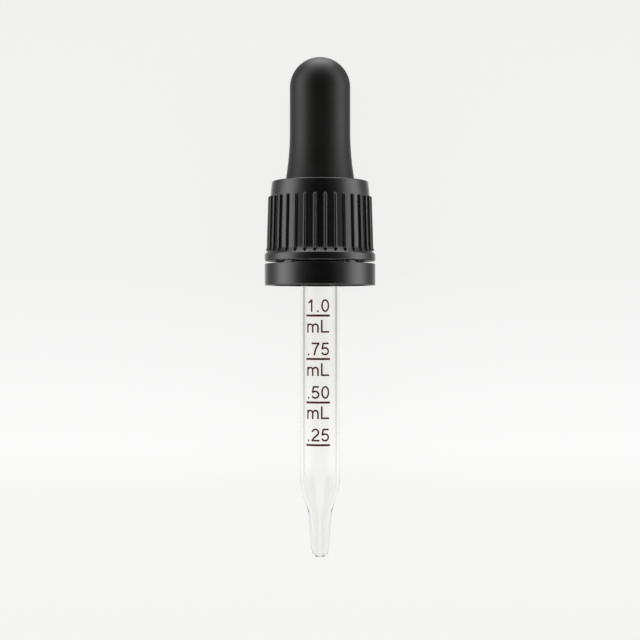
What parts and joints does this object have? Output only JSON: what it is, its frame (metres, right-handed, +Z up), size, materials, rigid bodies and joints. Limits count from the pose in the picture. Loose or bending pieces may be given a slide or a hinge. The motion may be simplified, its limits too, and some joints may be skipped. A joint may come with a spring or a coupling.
{
  "type": "dropper pipette",
  "caption": "Bottle dropper: rubber bulb and tamper-evident screw cap over a clear graduated glass pipette with a drawn tip.",
  "frame": {"origin": "on the surface it lies on, under the middle of its length", "axes": "+Y from the pipette's tip to the bulb, +Z up, with the printed scale on top, +X to the right of the scale"},
  "size_m": [0.0222, 0.0998, 0.0221],
  "materials": {
    "bulb_rubber": "matte",
    "cap_plastic": "satin",
    "clear_glass": "polished",
    "scale_ink": "matte"
  },
  "bodies": {
    "root": {"rubber_bulb": "bulb_rubber", "screw_cap": "cap_plastic", "glass_pipette": "clear_glass"}
  },
  "joints": []
}
